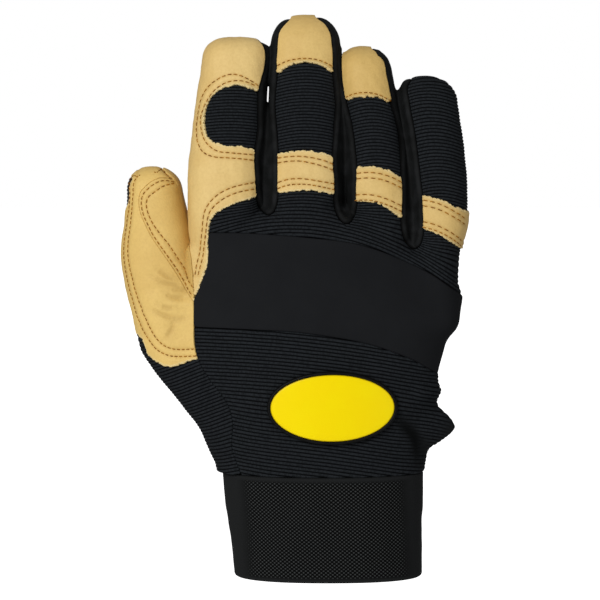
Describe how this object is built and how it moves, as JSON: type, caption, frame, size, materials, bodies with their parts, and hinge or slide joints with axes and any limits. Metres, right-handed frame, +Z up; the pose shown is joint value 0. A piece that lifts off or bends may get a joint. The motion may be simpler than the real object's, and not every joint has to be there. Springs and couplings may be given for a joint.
{
  "type": "mechanic glove",
  "caption": "Right-hand work glove in tan leather and black stretch cloth, filled out as worn, with a neoprene knuckle panel, an oval badge and an elastic cuff.",
  "frame": {"origin": "centre of the cuff's mouth, in the plane of its lower edge", "axes": "+Z up along the hand towards the fingertips, -Y out of the back of the hand, -X towards the thumb"},
  "size_m": [0.15, 0.0498, 0.242],
  "materials": {
    "leather_tan": "soft grain leather, golden tan, cut edges paler and frayed",
    "ribbed_spandex": "stretch cloth with fine raised cross ribs, near black, matt",
    "smooth_knit": "smooth black stretch knit",
    "neoprene": "plain matt charcoal neoprene with a fine jersey face",
    "woven_elastic": "woven black elastic with a fine raised lattice",
    "badge_black": "moulded black rubber, satin",
    "badge_yellow": "plain bright yellow, slightly glossy"
  },
  "bodies": {
    "root": {"palm_leather": "leather_tan", "index_leather": "leather_tan", "index_window": "ribbed_spandex", "back_spandex": "ribbed_spandex", "knuckle_panel": "neoprene", "lower_back": "ribbed_spandex", "middle_tip_cap": "leather_tan", "ring_tip_cap": "leather_tan", "fourchette_index_middle": "smooth_knit", "fourchette_middle_ring": "smooth_knit", "fourchette_ring_pinky": "smooth_knit", "middle_knuckle_strip": "leather_tan", "ring_knuckle_strip": "leather_tan", "pinky_knuckle_strip": "leather_tan", "thumb_leather": "leather_tan", "thumb_inner_leather": "leather_tan", "thumb_side_spandex": "ribbed_spandex", "cuff_band": "woven_elastic", "badge_plate": "badge_black", "badge_face": "badge_yellow"}
  },
  "joints": []
}
